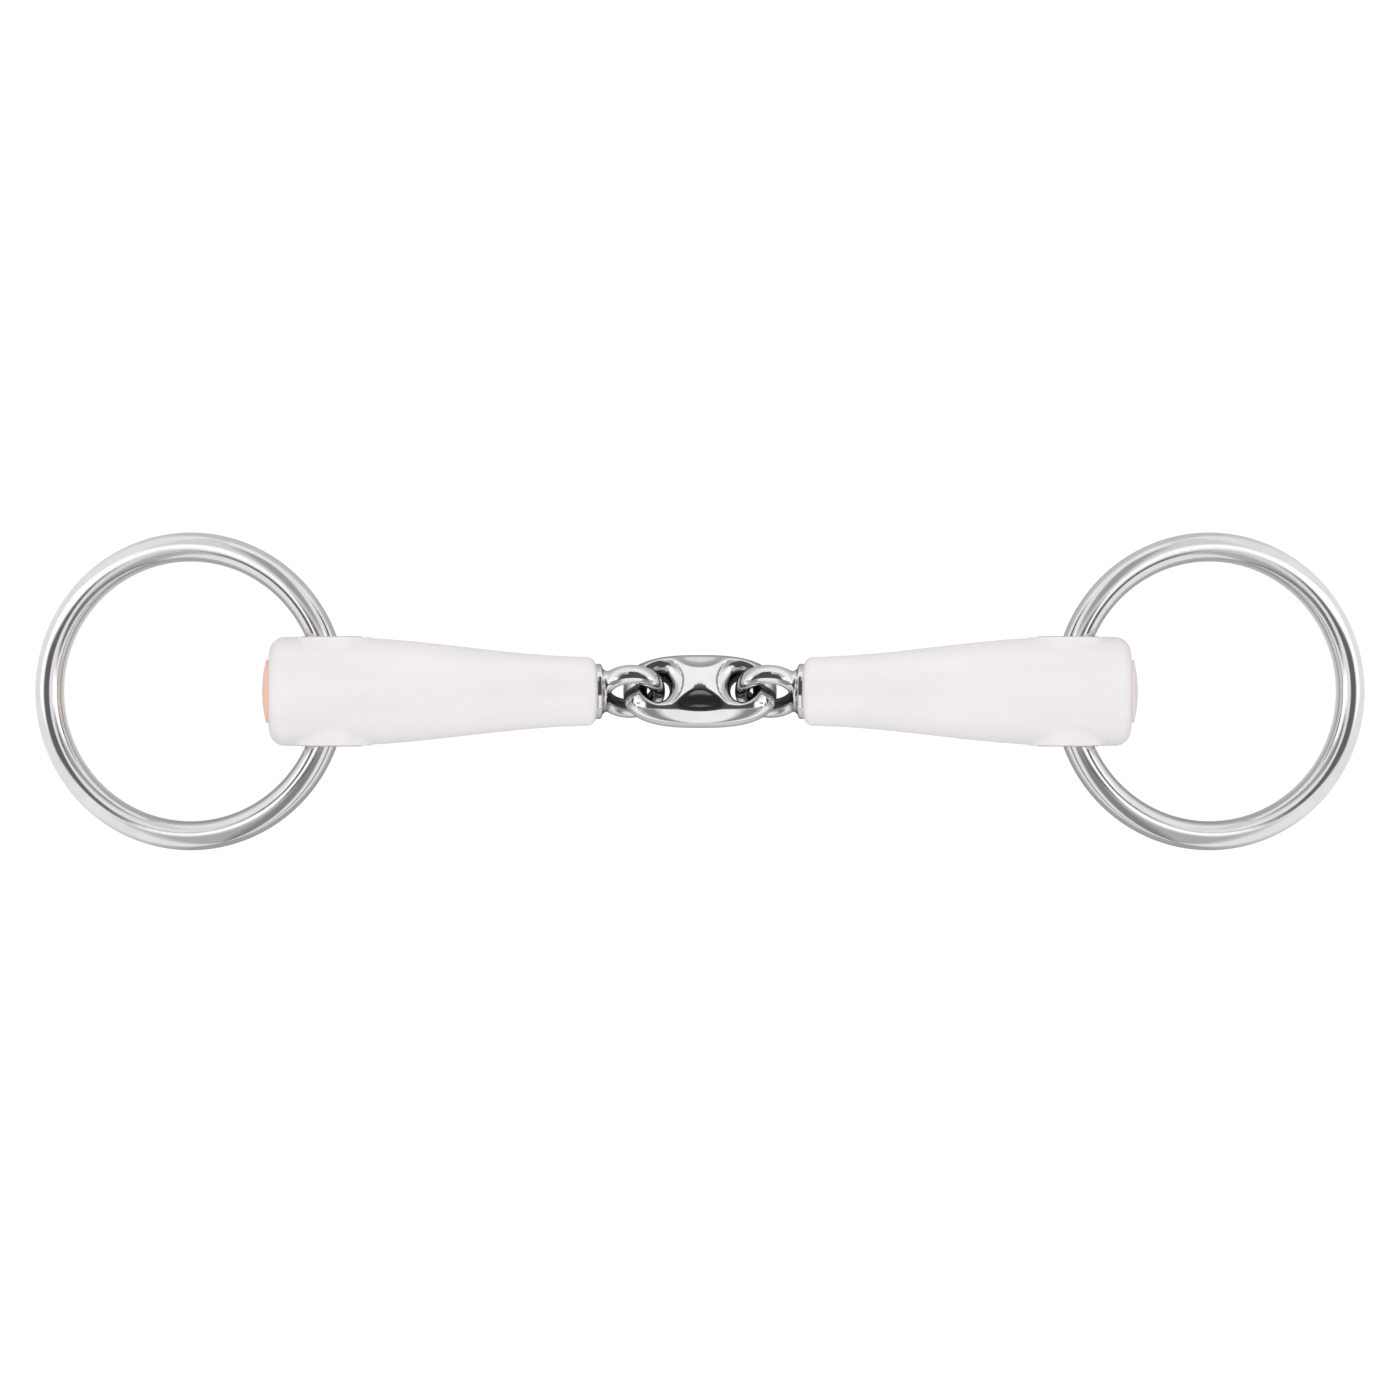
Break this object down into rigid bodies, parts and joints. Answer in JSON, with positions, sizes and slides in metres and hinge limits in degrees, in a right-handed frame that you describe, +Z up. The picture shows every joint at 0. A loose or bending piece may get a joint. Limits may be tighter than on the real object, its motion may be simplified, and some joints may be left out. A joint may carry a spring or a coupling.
{
  "type": "snaffle bit",
  "caption": "Double-jointed loose-ring horse bit: plastic-covered arms on a steel centre link, with round steel rings for bridle and reins.",
  "frame": {"origin": "on the resting plane, under the middle of the centre link", "axes": "+X along the mouthpiece towards the right ring, +Z up from the surface that the bit lies on"},
  "size_m": [0.256, 0.061, 0.0218],
  "materials": {
    "link_steel": "cast and mirror polished stainless steel",
    "core_steel": "polished stainless steel",
    "cover_plastic": "smooth moulded white plastic, soft sheen",
    "left_plug_plastic": "smooth moulded plastic",
    "bush_steel": "polished stainless steel",
    "ring_steel": "mirror polished round stainless wire",
    "right_plug_plastic": "smooth moulded plastic"
  },
  "bodies": {
    "centre_link": {"centre_link": "link_steel"},
    "left_arm": {"left_arm_core": "core_steel", "left_arm_cover": "cover_plastic", "left_end_plug": "left_plug_plastic"},
    "left_bush": {"left_ring_bush": "bush_steel"},
    "left_ring": {"left_ring": "ring_steel"},
    "right_arm": {"right_arm_core": "core_steel", "right_arm_cover": "cover_plastic", "right_end_plug": "right_plug_plastic"},
    "right_bush": {"right_ring_bush": "bush_steel"},
    "right_ring": {"right_ring": "ring_steel"}
  },
  "joints": [
    {"name": "left_arm_fold", "type": "hinge", "parent": "centre_link", "child": "left_arm", "pos_m": [-0.0081, 0, 0.00636], "axis": [0, 0.5736, 0.8192], "range_deg": [-60, 60]},
    {"name": "left_ring_swing", "type": "hinge", "parent": "left_arm", "child": "left_bush", "pos_m": [-0.0704, 0, 0.01071], "axis": [0, 1, 0], "range_deg": [-156, 180]},
    {"name": "left_ring_spin", "type": "hinge", "parent": "left_bush", "child": "left_ring", "pos_m": [-0.09782, 0, 0.00676], "axis": [-0.1428, 0, 0.9897], "continuous": true},
    {"name": "right_arm_fold", "type": "hinge", "parent": "centre_link", "child": "right_arm", "pos_m": [0.0081, 0, 0.00636], "axis": [0, 0.5736, 0.8192], "range_deg": [-60, 60]},
    {"name": "right_ring_swing", "type": "hinge", "parent": "right_arm", "child": "right_bush", "pos_m": [0.0704, 0, 0.01071], "axis": [0, -1, 0], "range_deg": [-156, 180]},
    {"name": "right_ring_spin", "type": "hinge", "parent": "right_bush", "child": "right_ring", "pos_m": [0.09782, 0, 0.00676], "axis": [0.1428, 0, 0.9897], "continuous": true}
  ]
}
